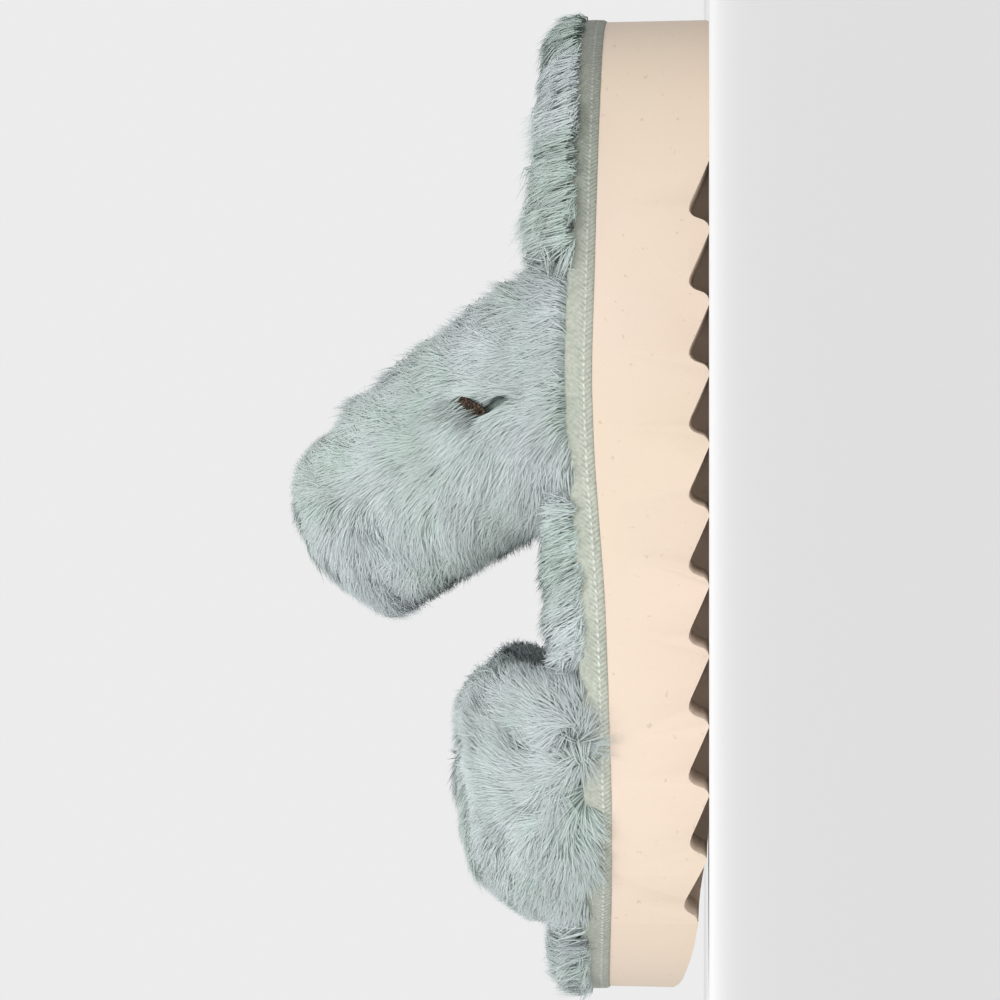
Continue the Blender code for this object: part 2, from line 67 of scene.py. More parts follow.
def closedSpline(points, steps):
    points = np.array(points)
    count = len(points)
    curve = []
    for i in range(count):
        p0, p1, p2, p3 = (points[(i + k) % count] for k in (-1, 0, 1, 2))
        t1 = math.sqrt(np.linalg.norm(p1 - p0))
        t2 = t1 + math.sqrt(np.linalg.norm(p2 - p1))
        t3 = t2 + math.sqrt(np.linalg.norm(p3 - p2))
        for step in range(steps):
            t = t1 + (t2 - t1) * step / steps
            a1 = (t1 - t) / t1 * p0 + t / t1 * p1
            a2 = (t2 - t) / (t2 - t1) * p1 + (t - t1) / (t2 - t1) * p2
            a3 = (t3 - t) / (t3 - t2) * p2 + (t - t2) / (t3 - t2) * p3
            b1 = (t2 - t) / t2 * a1 + t / t2 * a2
            b2 = (t3 - t) / (t3 - t1) * a2 + (t - t1) / (t3 - t1) * a3
            curve.append((t2 - t) / (t2 - t1) * b1 + (t - t1) / (t2 - t1) * b2)
    return np.array(curve)


def smoothReader(rows, k):
    # monotone cubic through one column of a table, returned as a reader of arrays
    xs = np.array([row[0] for row in rows], float)
    ys = np.array([row[k] for row in rows], float)
    slopes = np.diff(ys) / np.diff(xs)
    tangents = np.concatenate([[slopes[0]], np.zeros(len(xs) - 2), [slopes[-1]]])
    for i in range(1, len(xs) - 1):
        before, after = slopes[i - 1], slopes[i]
        if before * after > 0:
            tangents[i] = 2 * before * after / (before + after)
    fine = np.linspace(xs[0], xs[-1], 1201)
    i = np.clip(np.searchsorted(xs, fine) - 1, 0, len(xs) - 2)
    h = xs[i + 1] - xs[i]
    t = (fine - xs[i]) / h
    values = (
        (2 * t**3 - 3 * t**2 + 1) * ys[i] + (t**3 - 2 * t**2 + t) * tangents[i] * h
        + (-2 * t**3 + 3 * t**2) * ys[i + 1] + (t**3 - t**2) * tangents[i + 1] * h
    )
    return lambda x: np.interp(x, fine, values)


length = shoe["length"]
ring = [(0.0, 0.0)]
for along, lateral, medial in shoe["outline"]:
    ring.append((-lateral * shoe["ballWidth"], along * length))
ring.append((shoe["toeTipSide"] * shoe["ballWidth"], length))
for along, lateral, medial in reversed(shoe["outline"]):
    ring.append((medial * shoe["ballWidth"], along * length))
outline = closedSpline(ring, 24)
toeIndex = int(np.argmax(outline[:, 1]))
lateralCurve = outline[: toeIndex + 1]
medialCurve = np.vstack([outline[toeIndex:], outline[:1]])[::-1]
readTop = smoothReader(shoe["topLine"], 1)
footbedInset = shoe["tapeWall"] + shoe["jointGap"]


def wallX(y, side):
    lateral = np.interp(y, lateralCurve[:, 1], lateralCurve[:, 0])
    medial = np.interp(y, medialCurve[:, 1], medialCurve[:, 0])
    return np.where(np.asarray(side) < 0, lateral, medial)


def wallPoint(y, side, inset):
    # point of the outline at y, moved inwards; the last axis is (x, y)
    y = np.asarray(y, float)
    reach = np.maximum(np.minimum(np.minimum(shoe["normalReach"] * length, y), length - y), 1e-7)
    dx = wallX(y + reach, side) - wallX(y - reach, side)
    nx = side * 2 * reach
    ny = -side * dx
    size = np.hypot(nx, ny)
    return np.stack([wallX(y, side) - nx / size * inset, y - ny / size * inset], -1)


def topLine(y):
    return shoe["soleHeight"] * readTop(np.asarray(y) / length)


def tapeTop(y):
    return topLine(y) + shoe["jointGap"] + shoe["tapeHeight"]


def spinePoint(y):
    y = np.clip(y, 0.15 * length, 0.84 * length)
    return np.stack([(wallX(y, -1) + wallX(y, 1)) / 2, y], -1)


def around(share):
    # share 0..1 round the shoe from the heel, lateral side first: its side and its y
    share = np.mod(share, 1.0)
    side = np.where(share <= 0.5, -1.0, 1.0)
    turn = np.where(share <= 0.5, share, 1 - share) * 2
    return side, length * (1 - np.cos(np.pi * turn)) / 2


def noise(points, scale, seed):
    # soft noise about 0, from a handful of waves of one size
    local = np.random.default_rng(seed)
    total = np.zeros(len(points))
    for _ in range(9):
        wave = local.normal(size=3)
        wave *= local.uniform(0.6, 1.6) / (np.linalg.norm(wave) * scale)
        total += np.sin(points @ wave * 6.283 + local.uniform(0, 6.283))
    return total / 3.0


def toWorld(points):
    return points - np.array([0.0, length / 2, 0.0])


def addPiece(name, bm, materials):
    mesh = bpy.data.meshes.new(name)
    bm.to_mesh(mesh)
    bm.free()
    for material in materials:
        mesh.materials.append(material)
    mesh.shade_smooth()
    piece = bpy.data.objects.new(name, mesh)
    bpy.context.scene.collection.objects.link(piece)
    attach(piece, "root")
    return piece


def sweptGrid(columns, rows, place):
    # a grid of columns x rows, moved on to place(u, v); its open edges are merged where they meet
    bm = bmesh.new()
    bmesh.ops.create_grid(bm, x_segments=columns, y_segments=rows, size=0.5)
    shares = np.array([[v.co.x + 0.5, v.co.y + 0.5] for v in bm.verts])
    points = toWorld(place(shares[:, 0], shares[:, 1]))
    layer = bm.loops.layers.uv.new("surface")
    for v, share, point in zip(bm.verts, shares, points):
        v.co = point
        for loop in v.link_loops:
            loop[layer].uv = share
    bmesh.ops.remove_doubles(bm, verts=bm.verts[:], dist=2e-6)
    bmesh.ops.recalc_face_normals(bm, faces=bm.faces[:])
    return bm


# Materials


def newMaterial(name, roughness, sheen=0.0, sheenTint=(1, 1, 1)):
    material = bpy.data.materials.new(name)
    material.use_nodes = True
    nodes = material.node_tree.nodes
    shader = nodes["Principled BSDF"]
    shader.inputs["Roughness"].default_value = roughness
    shader.inputs["Sheen Weight"].default_value = sheen
    shader.inputs["Sheen Tint"].default_value = (*sheenTint, 1)
    shader.inputs["Specular IOR Level"].default_value = 0.25
    return material, nodes, material.node_tree.links, shader


def noiseNode(nodes, links, coordinates, scale, detail=4.0, rough=0.55):
    node = nodes.new("ShaderNodeTexNoise")
    node.inputs["Scale"].default_value = scale
    node.inputs["Detail"].default_value = detail
    node.inputs["Roughness"].default_value = rough
    links.new(coordinates, node.inputs["Vector"])
    return node


def rampNode(nodes, links, value, stops):
    node = nodes.new("ShaderNodeValToRGB")
    ramp = node.color_ramp
    while len(ramp.elements) < len(stops):
        ramp.elements.new(0.5)
    for element, (place, colour) in zip(ramp.elements, stops):
        element.position = place
        element.color = (*colour, 1)
    links.new(value, node.inputs["Fac"])
    return node


def mixNode(nodes, links, factor, first, second, blend="MIX"):
    node = nodes.new("ShaderNodeMix")
    node.data_type = "RGBA"
    node.blend_type = blend
    for value, socket in ((factor, node.inputs[0]), (first, node.inputs[6]), (second, node.inputs[7])):
        if isinstance(value, float):
            socket.default_value = value
        elif isinstance(value, tuple):
            socket.default_value = (*value, 1)
        else:
            links.new(value, socket)
    return node.outputs[2]


def mathNode(nodes, links, operation, *values):
    node = nodes.new("ShaderNodeMath")
    node.operation = operation
    for k, value in enumerate(values):
        if isinstance(value, (int, float)):
            node.inputs[k].default_value = value
        else:
            links.new(value, node.inputs[k])
    return node.outputs[0]


def bumpNode(nodes, links, height, shader, strength, distance):
    node = nodes.new("ShaderNodeBump")
    node.inputs["Strength"].default_value = strength
    node.inputs["Distance"].default_value = distance
    links.new(height, node.inputs["Height"])
    links.new(node.outputs["Normal"], shader.inputs["Normal"])


def endShade(nodes, links, place, stops):
    # painted shade: darker towards the ends, read along the shoe from heel to toe
    split = nodes.new("ShaderNodeSeparateXYZ")
    links.new(place, split.inputs[0])
    share = mathNode(nodes, links, "MULTIPLY_ADD", split.outputs["Y"], 1 / length, 0.5)
    greys = tuple((at, (tone, tone, tone)) for at, tone in stops)
    return rampNode(nodes, links, share, greys).outputs["Color"]


def foamMaterial(look):
    material, nodes, links, shader = newMaterial("creamFoam", look["roughness"])
    place = nodes.new("ShaderNodeTexCoord").outputs["Object"]
    mottling = noiseNode(nodes, links, place, look["mottleScale"], 3)
    tone = rampNode(nodes, links, mottling.outputs["Fac"], (
        (0.32, look["yellow"]), (0.5, look["cream"]), (0.68, look["peach"])))
    specks = noiseNode(nodes, links, place, look["speckScale"], 2)
    speckMask = rampNode(nodes, links, specks.outputs["Fac"], ((0.27, (1, 1, 1)), (0.31, (0, 0, 0))))
    speckShare = mathNode(nodes, links, "MULTIPLY", speckMask.outputs["Color"], look["speckShare"])
    colour = mixNode(nodes, links, speckShare, tone.outputs["Color"], look["speck"])
    # painted shade: the foam darkens towards the heel and the toe
    foamEndShade = endShade(nodes, links, place, look["ends"])
    links.new(mixNode(nodes, links, 1.0, colour, foamEndShade, "MULTIPLY"), shader.inputs["Base Color"])
    grain = noiseNode(nodes, links, place, look["grainScale"], 5, 0.65)
    bumpNode(nodes, links, grain.outputs["Fac"], shader, look["grainStrength"], 0.0004)
    return material


def tapeMaterial(look):
    # UV x is the way round in metres, y the height share of the visible face
    material, nodes, links, shader = newMaterial("sageTape", look["roughness"], look["sheen"])
    uv = nodes.new("ShaderNodeUVMap")
    uv.uv_map = "surface"
    split = nodes.new("ShaderNodeSeparateXYZ")
    links.new(uv.outputs["UV"], split.inputs[0])
    run, rise = split.outputs["X"], split.outputs["Y"]
    # twill legs lean one way above the spine line and the other way below it
    fromSpine = mathNode(nodes, links, "ABSOLUTE", mathNode(nodes, links, "SUBTRACT", rise, look["spine"]))
    lean = mathNode(nodes, links, "MULTIPLY", fromSpine, look["lean"])
    phase = mathNode(nodes, links, "DIVIDE", mathNode(nodes, links, "ADD", run, lean), look["pitch"])
    wave = mathNode(nodes, links, "SINE", mathNode(nodes, links, "MULTIPLY", phase, 6.2832))
    yarn = mathNode(nodes, links, "MULTIPLY_ADD", wave, 0.5, 0.5)
    lower = rampNode(nodes, links, rise, ((0.42, (1, 1, 1)), (0.56, (0.25, 0.25, 0.25))))
    yarnShown = mathNode(nodes, links, "MULTIPLY", yarn, lower.outputs["Color"])
    # the light stitched line, broken into short dashes
    line = rampNode(nodes, links, rise, (
        (look["line"] - 0.075, (0, 0, 0)), (look["line"] - 0.02, (1, 1, 1)),
        (look["line"] + 0.02, (1, 1, 1)), (look["line"] + 0.075, (0, 0, 0))))
    dash = mathNode(nodes, links, "SINE", mathNode(
        nodes, links, "MULTIPLY", mathNode(nodes, links, "ADD", run, mathNode(nodes, links, "MULTIPLY", rise, 0.004)),
        6.2832 / look["stitch"]))
    dashShown = mathNode(nodes, links, "MULTIPLY", mathNode(
        nodes, links, "GREATER_THAN", dash, -0.15), line.outputs["Color"])
    place = nodes.new("ShaderNodeTexCoord").outputs["Object"]
    felt = noiseNode(nodes, links, place, 900, 4, 0.7)
    cloud = noiseNode(nodes, links, place, 38, 3)
    base = rampNode(nodes, links, cloud.outputs["Fac"], ((0.3, look["dark"]), (0.7, look["light"])))
    yarnShare = mathNode(nodes, links, "MULTIPLY", yarnShown, 0.55)
    dashShare = mathNode(nodes, links, "MULTIPLY", dashShown, 0.8)
    woven = mixNode(nodes, links, yarnShare, base.outputs["Color"], look["yarn"])
    lined = mixNode(nodes, links, dashShare, woven, look["stitchColour"])
    grey = rampNode(nodes, links, felt.outputs["Fac"], ((0.3, (0.74, 0.74, 0.74)), (0.7, (1.1, 1.1, 1.1))))
    # painted shade: the tape darkens towards the heel and the toe
    tapeEndShade = endShade(nodes, links, place, look["ends"])
    felted = mixNode(nodes, links, 1.0, lined, grey.outputs["Color"], "MULTIPLY")
    links.new(mixNode(nodes, links, 1.0, felted, tapeEndShade, "MULTIPLY"), shader.inputs["Base Color"])
    feltHeight = mathNode(nodes, links, "MULTIPLY", felt.outputs["Fac"], 0.6)
    height = mathNode(nodes, links, "ADD", mathNode(nodes, links, "MULTIPLY", yarnShown, 0.7),
                      mathNode(nodes, links, "ADD", feltHeight, dashShown))
    bumpNode(nodes, links, height, shader, 0.8, 0.00035)
    return material


def napMaterial(name, look):
    # undercoat of the pile, and the short brushed lining inside the bands
    material, nodes, links, shader = newMaterial(name, 0.95, look["sheen"], look["sheenTint"])
    place = nodes.new("ShaderNodeTexCoord").outputs["Object"]
    cloud = noiseNode(nodes, links, place, look["cloudScale"], 4)
    tone = rampNode(nodes, links, cloud.outputs["Fac"], ((0.3, look["dark"]), (0.7, look["light"])))
    nap = noiseNode(nodes, links, place, look["napScale"], 5, 0.7)
    grey = rampNode(nodes, links, nap.outputs["Fac"], ((0.3, (0.7, 0.7, 0.7)), (0.7, (1.1, 1.1, 1.1))))
    colour = mixNode(nodes, links, 1.0, tone.outputs["Color"], grey.outputs["Color"], "MULTIPLY")
    links.new(colour, shader.inputs["Base Color"])
    bumpNode(nodes, links, nap.outputs["Fac"], shader, 0.7, 0.0008)
    return material


def strandMaterial(name, look):
    material, nodes, links, shader = newMaterial(name, look["roughness"], look["sheen"], (0.9, 0.97, 1.0))
    attribute = nodes.new("ShaderNodeAttribute")
    attribute.attribute_name = "strandColour"
    place = nodes.new("ShaderNodeTexCoord").outputs["Object"]
    cloud = noiseNode(nodes, links, place, 55, 3)
    shade = rampNode(nodes, links, cloud.outputs["Fac"], ((0.3, (0.93, 0.95, 0.94)), (0.7, (1.04, 1.03, 1.04))))
    colour = mixNode(nodes, links, 1.0, attribute.outputs["Color"], shade.outputs["Color"], "MULTIPLY")
    links.new(colour, shader.inputs["Base Color"])
    return material


# Foam sole: the CAD outsole with its edges eased

foamSole = {
    "edgeRadius": 0.0007,
    "roughness": 0.6,
    "cream": (0.76, 0.63, 0.52),
    "yellow": (0.755, 0.635, 0.505),
    "peach": (0.775, 0.63, 0.53),
    "speck": (0.45, 0.36, 0.26),
    "speckShare": 0.35,
    "mottleScale": 16.0,
    "speckScale": 420.0,
    "grainScale": 1400.0,
    "grainStrength": 0.18,
    # painted shade: the foam's tone from heel to toe
    "ends": ((0.0, 0.78), (0.10, 0.93), (0.24, 0.99), (0.80, 1.0), (1.0, 0.94)),  # tone from heel to toe
    "sharpAngle": math.radians(32),
}
soleBm = bmesh.new()
soleBm.from_mesh(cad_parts["outsole"].data)
bmesh.ops.remove_doubles(soleBm, verts=soleBm.verts[:], dist=2e-5)
bmesh.ops.dissolve_limit(soleBm, angle_limit=math.radians(0.6), verts=soleBm.verts[:], edges=soleBm.edges[:])
sole = addPiece("foamSole", soleBm, [foamMaterial(foamSole)])
sole.data.set_sharp_from_angle(angle=foamSole["sharpAngle"])
easing = sole.modifiers.new("easedEdges", "BEVEL")
easing.width = foamSole["edgeRadius"]
easing.segments = 2
easing.limit_method = "ANGLE"
easing.angle_limit = foamSole["sharpAngle"]
easing.harden_normals = True
easing.use_clamp_overlap = True
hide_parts("outsole")
print("foam sole done", len(sole.data.polygons))

# Edge tape: an upright woven ring with a rounded top edge

edgeTape = {
    "overhang": 0.0005,
    "rounding": 0.0007,
    "roughness": 0.9,
    "sheen": 0.25,
    "dark": (0.42, 0.46, 0.39),
    "light": (0.54, 0.57, 0.49),
    "yarn": (0.68, 0.72, 0.63),
    "stitchColour": (0.86, 0.90, 0.82),
    "spine": 0.30,
    "line": 0.30,
    "lean": 0.0042,
    "pitch": 0.00105,
    "stitch": 0.0015,
    "run": 0.66,  # metres round, for the weave
    "foot": -0.00028,
    # painted shade: the tape's tone from heel to toe
    "ends": ((0.00, 0.40), (0.16, 0.72), (0.40, 0.98), (0.72, 1.0), (0.90, 0.78), (1.00, 0.70)),
}


def tapeSection():
    # inset and height of each row, from the outer foot over the rounded top to the inner foot
    o, r, h = -edgeTape["overhang"], edgeTape["rounding"], shoe["tapeHeight"]
    rows = [(o + 0.0004, edgeTape["foot"]), (o, 0.0004)]
    rows += [(o - 0.00012 * math.sin(math.pi * k / 6), 0.0005 + (h - r - 0.0005) * k / 6) for k in range(1, 7)]
    rows += [(o + r - r * math.cos(a), h - r + r * math.sin(a)) for a in (0.5, 1.05, 1.57)]
    rows += [(shoe["tapeWall"], h), (shoe["tapeWall"], edgeTape["foot"])]
    return np.array(rows)


section = tapeSection()


def placeTape(u, v):
    k = v * len(section)
    low = np.minimum(k.astype(int), len(section)) % len(section)
    side, y = around(u)
    inset, height = section[low, 0], section[low, 1]
    flat = wallPoint(y, side, inset)
    return np.column_stack([flat, topLine(y) + shoe["jointGap"] + height])


tapeBm = sweptGrid(520, len(section), placeTape)
layer = tapeBm.loops.layers.uv["surface"]
for face in tapeBm.faces:
    for loop in face.loops:
        uv = loop[layer].uv
        seat = topLine(np.array(loop.vert.co.y + length / 2))
        rise = (loop.vert.co.z - float(seat)) / shoe["tapeHeight"]
        loop[layer].uv = (uv.x * edgeTape["run"], rise)
tape = addPiece("edgeTape", tapeBm, [tapeMaterial(edgeTape)])
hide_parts("edge_tape")
print("edge tape done", len(tape.data.polygons))

# Fur: shapes of the three furred surfaces

bandShape = {
    "marginWall": 0.0030,
    "wall": 0.0070,
    "swell": 0.0022,
    "seat": 0.0006,
    "fullness": 2.35,
}
toeBand = {
    "top": 0.0698,
    "setback": 0.0252,
    "width": 0.0673,
    "mouthDepth": 0.0155,
    "frontSetback": 0.0068,
    "skew": 0.0060,
    "rows": (
        (0.00, 0.950, 0.50), (0.07, 0.980, 0.82), (0.17, 0.996, 0.97), (0.28, 1.000, 1.00),
        (0.39, 0.999, 1.00), (0.50, 0.994, 1.00), (0.61, 0.986, 1.00), (0.72, 0.976, 1.00),
        (0.83, 0.960, 0.98), (0.93, 0.920, 0.85), (1.00, 0.868, 0.50),
    ),
    "mouth": (
        (0.00, 0.02), (0.22, 0.00), (0.33, 0.22), (0.42, 0.80), (0.49, 1.00),
        (0.57, 0.85), (0.66, 0.35), (0.76, 0.00), (1.00, 0.08),
    ),
}
instepBand = {
    "top": 0.1158,
    "place": 0.375,
    "width": 0.0597,
    "leanRear": 0.0425,
    "leanFront": 0.0300,
    "skew": 0.0040,
    "rows": (
        (0.00, 0.948, 0.50), (0.08, 0.980, 0.82), (0.19, 0.998, 0.97), (0.31, 1.000, 1.00),
        (0.43, 0.996, 1.00), (0.55, 0.980, 1.00), (0.67, 0.955, 1.00), (0.79, 0.920, 0.98),
        (0.91, 0.862, 0.85), (1.00, 0.795, 0.50),
    ),
}
readMouth = smoothReader(toeBand["mouth"], 1)
toeFrontY = length - toeBand["setback"]
toeRearY = toeFrontY - toeBand["width"]
instepRearY = length * instepBand["place"] - instepBand["width"] / 2
instepFrontY = instepRearY + instepBand["width"]


def toeEdges(rise, share):
    fluff = 0.0095 * rise * (1 - rise)
    front = toeFrontY - toeBand["frontSetback"] * rise**2 + fluff
    return toeRearY + toeBand["mouthDepth"] * readMouth(share), front


def instepEdges(rise, share):
    rounded = 0.0065 * np.clip((rise - 0.45) / 0.55, 0, 1) ** 1.5
    rear = instepRearY + instepBand["leanRear"] * rise + rounded
    return rear, instepFrontY + instepBand["leanFront"] * rise


def bandReader(band, edges):
    # returns point(across, share, depth) for arrays: across runs from rear to front edge, share over the
    # arch by equal lengths from the outer foot, and a depth above 1 stands for the lining
    crownTable = smoothReader(band["rows"], 1)
    wallTable = smoothReader(band["rows"], 2)

    def lengthwise(across, rise, share):
        rear, front = edges(rise, share)
        return rear + (front - rear) * across

    def atAngle(across, theta, share, depth):
        wall = bandShape["wall"] * wallTable(across)
        innerInset = footbedInset + bandShape["marginWall"]
        depth = np.where(depth > 1, wall, depth)
        inset = innerInset - (wall - depth) * (innerInset + bandShape["swell"]) / bandShape["wall"]
        c, s = np.cos(theta), np.sin(theta)
        reach = -np.copysign(np.abs(c) ** (2 / bandShape["fullness"]), c)
        rise = np.abs(s) ** (2 / bandShape["fullness"])
        zero = np.zeros_like(theta)
        y = lengthwise(across, zero, zero)
        left, right = wallPoint(y, -1, inset), wallPoint(y, 1, inset)
        seat = tapeTop(y) + bandShape["seat"]
        flat = (left + right) / 2 + (right - left) / 2 * reach[..., None]
        forward = lengthwise(across, rise, share) - y
        height = seat + (band["top"] * crownTable(across) - depth - seat) * rise
        return np.stack([flat[..., 0] + band["skew"] * rise, flat[..., 1] + forward, height], -1)

    fine = np.linspace(0, math.pi, 600)
    path = atAngle(np.full(600, 0.5), fine, np.full(600, 0.5), np.zeros(600))
    steps = np.linalg.norm(np.diff(path[:, [0, 2]], axis=0), axis=1)
    run = np.concatenate([[0.0], np.cumsum(steps)])
    arch = run[-1]

    def point(across, share, depth):
        across, share, depth = np.broadcast_arrays(
            np.asarray(across, float), np.asarray(share, float), np.asarray(depth, float))
        inside = np.clip(share, 0.0, 1.0)
        theta = np.interp(inside * arch, run, fine)
        place = atAngle(across, theta, inside, depth)
        place[..., 2] -= np.abs(share - inside) * arch  # below the foot the skin hangs straight down
        return place

    return point


toePoint = bandReader(toeBand, toeEdges)
instepPoint = bandReader(instepBand, instepEdges)

footbedShape = {
    "pile": 0.0085,
    "overhang": 0.0012,
    "dish": 0.0035,
    # way up and in: share of the section, inset (or share towards the spine), height share of the pile, dish
    "rim": ((0.00, 1.0, 0.0), (0.10, -0.16, 0.10), (0.22, -0.86, 0.50), (0.36, 0.9, 0.86), (0.46, 3.0, 0.99)),
}
rimShares = np.array([row[0] for row in footbedShape["rim"]])


def underBand(y, side):
    # 1 where a band's margin comes down at this station, 0 away from it
    soft = 0.0035
    cover = np.zeros_like(y)
    for rear, front in ((toeRearY, toeFrontY), (instepRearY, instepFrontY)):
        behind = np.clip((y - rear + soft) / soft, 0, 1)
        ahead = np.clip((front + soft - y) / soft, 0, 1)
        cover = np.maximum(cover, behind * ahead)
    return cover


def footbedPoint(roundShare, inward, depth):
    # inward 0 at the tape's top edge, 0.46 on the rim's shoulder, 1 on the spine
    side, y = around(roundShare)
    unit = footbedShape["overhang"]
    inset = np.interp(inward, rimShares, [footbedInset, -0.2 * unit, -unit, unit, 3.4 * unit])
    height = np.interp(inward, rimShares, [row[2] for row in footbedShape["rim"]]) * footbedShape["pile"]
    cover = underBand(y, side)
    tucked = footbedInset + bandShape["marginWall"] + 0.002
    inset = np.maximum(inset + depth * 0.8, cover * tucked)
    rim = wallPoint(y, side, inset)
    toSpine = np.clip((inward - 0.46) / 0.54, 0, 1)
    flat = rim + (spinePoint(y) - rim) * toSpine[..., None]
    dish = footbedShape["dish"] * np.sin(np.clip(toSpine * 1.4, 0, 1) * math.pi / 2)
    height = tapeTop(flat[..., 1]) + height - dish - depth
    return np.concatenate([flat, height[..., None]], -1)


# Fur: undercoats

furLook = {
    "dark": (0.22, 0.29, 0.26),
    "light": (0.33, 0.42, 0.39),
    "cloudScale": 60.0,
    "napScale": 1500.0,
    "sheen": 0.3,
    "sheenTint": (0.8, 0.95, 0.95),
}
# grey lining inside the bands: its real grey is darkened further with painted shade
shadedLiningLook = {
    "dark": (0.16, 0.165, 0.145),
    "light": (0.24, 0.245, 0.22),
    "cloudScale": 45.0,
    "napScale": 1300.0,
    "sheen": 0.35,
    "sheenTint": (0.8, 0.85, 0.85),
}
undercoat = napMaterial("furUndercoat", furLook)
lining = napMaterial("greyLining", shadedLiningLook)
skinDepth = 0.0034


def bandSkin(name, point, node):
    # section runs over the outer skin from rear to front and back along the lining
    steps = 22
    across = np.concatenate([np.linspace(0.01, 0.99, steps), np.linspace(0.99, 0.01, steps)])
    deep = np.concatenate([np.zeros(steps), np.ones(steps)])
    shares = np.linspace(-0.055, 1.055, 150)

    def place(u, v):
        k = np.rint(u * 2 * steps).astype(int) % (2 * steps)
        edge = 1 - np.clip(np.minimum(across[k], 1 - across[k]) / 0.09, 0, 1)
        outer = skinDepth * (1 - 0.55 * edge**2)
        share = np.interp(v, np.linspace(0, 1, 150), shares)
        place = point(across[k], share, np.where(deep[k] > 0, 2.0, outer))
        # the margins step in between tape and footbed below the arch
        below = (share < 0) | (share > 1)
        side = np.where(share < 0.5, -1.0, 1.0)
        inset = footbedInset + shoe["jointGap"] + deep[k] * (bandShape["marginWall"] - 0.0004)
        margin = wallPoint(place[:, 1], side, inset)
        place[below, :2] = margin[below]
        return place

    bm = sweptGrid(2 * steps, 149, place)
    bmesh.ops.holes_fill(bm, edges=[e for e in bm.edges if e.is_boundary], sides=0)
    bmesh.ops.recalc_face_normals(bm, faces=bm.faces[:])
    piece = addPiece(name, bm, [undercoat, lining])
    layer = piece.data.uv_layers["surface"].data
    for polygon in piece.data.polygons:
        if len(polygon.vertices) == 4 and min(layer[i].uv.x for i in polygon.loop_indices) >= 0.5 - 1e-4:
            polygon.material_index = 1
    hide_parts(node)


bandSkin("toeBandSkin", toePoint, "toe_band")
bandSkin("instepBandSkin", instepPoint, "instep_band")


def placeFootbed(u, v):
    # v from the underside's spine, over the rim, to the spine on top
    low = v < 0.2
    inward = np.where(low, 0.0, (v - 0.2) / 0.8)
    place = footbedPoint(u, inward, np.full_like(u, 0.0028) * np.clip(inward * 8, 0, 1))
    side, y = around(u)
    foot = wallPoint(y, side, footbedInset)
    share = np.clip((0.12 - v) / 0.12, 0, 1)
    foot = foot + (spinePoint(y) - foot) * share[:, None]
    z = topLine(foot[:, 1]) + shoe["jointGap"]
    under = v < 0.15
    place[under] = np.column_stack([foot, z])[under]
    return place


bedBm = sweptGrid(320, 40, placeFootbed)
footbedSkin = addPiece("footbedSkin", bedBm, [undercoat])
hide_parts("fur_footbed")
print("undercoats done")

# Fur: strands, as ribbons that walk over the surface and lean on each other in tufts

strands = {
    "width": 0.00030,
    "kept": 0.66,  # share of the sown roots that grow where the surface is widest
    "bendAt": 0.42,
    "crossingLength": 0.36,
    "roughness": 0.8,
    "sheen": 0.25,
    "root": (0.30, 0.37, 0.335),
    "mint": (0.60, 0.695, 0.665),
    "green": (0.50, 0.61, 0.545),
    "grey": (0.635, 0.685, 0.70),
    "tip": (0.735, 0.785, 0.80),
    # painted shade: darker grey tips at the band edges and on the upper footbed rim
    "rimTipShade": (0.56, 0.575, 0.60),
}
strandCoat = strandMaterial("seafoamFur", strands)
tack = {
    "start": (0.0655, 0.1068),  # height and y from the heel of its two ends, on the outer side
    "middle": (0.0597, 0.1102),
    "end": (0.0548, 0.1066),
    "room": 0.0013,
    "thread": (0.045, 0.030, 0.020),
    "lightThread": (0.20, 0.125, 0.08),
    "radius": 0.00024,
}


def nearTack(points):
    # distance to the parting's line, in the plane of the shoe's side
    flat = points[:, [2, 1]]
    best = np.full(len(points), 1.0)
    for a, b in ((tack["start"], tack["middle"]), (tack["middle"], tack["end"])):
        a, b = np.array(a), np.array(b)
        t = np.clip(((flat - a) @ (b - a)) / ((b - a) @ (b - a)), 0, 1)
        best = np.minimum(best, np.linalg.norm(flat - a - t[:, None] * (b - a), axis=1))
    return np.where(points[:, 0] < 0, best, 1.0)


def bandHeart(at):
    heart = at.copy()
    heart[..., 0] = 0.001
    heart[..., 2] = 0.03
    return heart


def rolledPoint(point, width, low, high, radius):
    # the surface past its low and high edge rolls round the rim towards the lining
    def rolled(u, v, depth):
        u, v, depth = np.broadcast_arrays(np.asarray(u, float), np.asarray(v, float), np.asarray(depth, float))
        inside = np.clip(u, low, high)
        past = (u - inside) * width
        place = point(inside, v, depth)
        small = 1e-3
        alongU = point(inside + small, v, depth) - point(inside - small, v, depth)
        alongV = point(inside, v + small, depth) - point(inside, v - small, depth)
        alongU /= np.linalg.norm(alongU, axis=-1)[..., None]
        normal = np.cross(alongU, alongV)
        normal /= np.maximum(np.linalg.norm(normal, axis=-1), 1e-12)[..., None]
        inward = normal * np.sign(np.sum(normal * (bandHeart(place) - place), axis=-1))[..., None]
        turn = np.clip(np.abs(past) / radius, 0, math.pi * 0.8)
        onward = alongU * (np.sign(past) * radius * np.sin(turn))[..., None]
        return place + onward + inward * (radius * (1 - np.cos(turn)))[..., None]

    return rolled


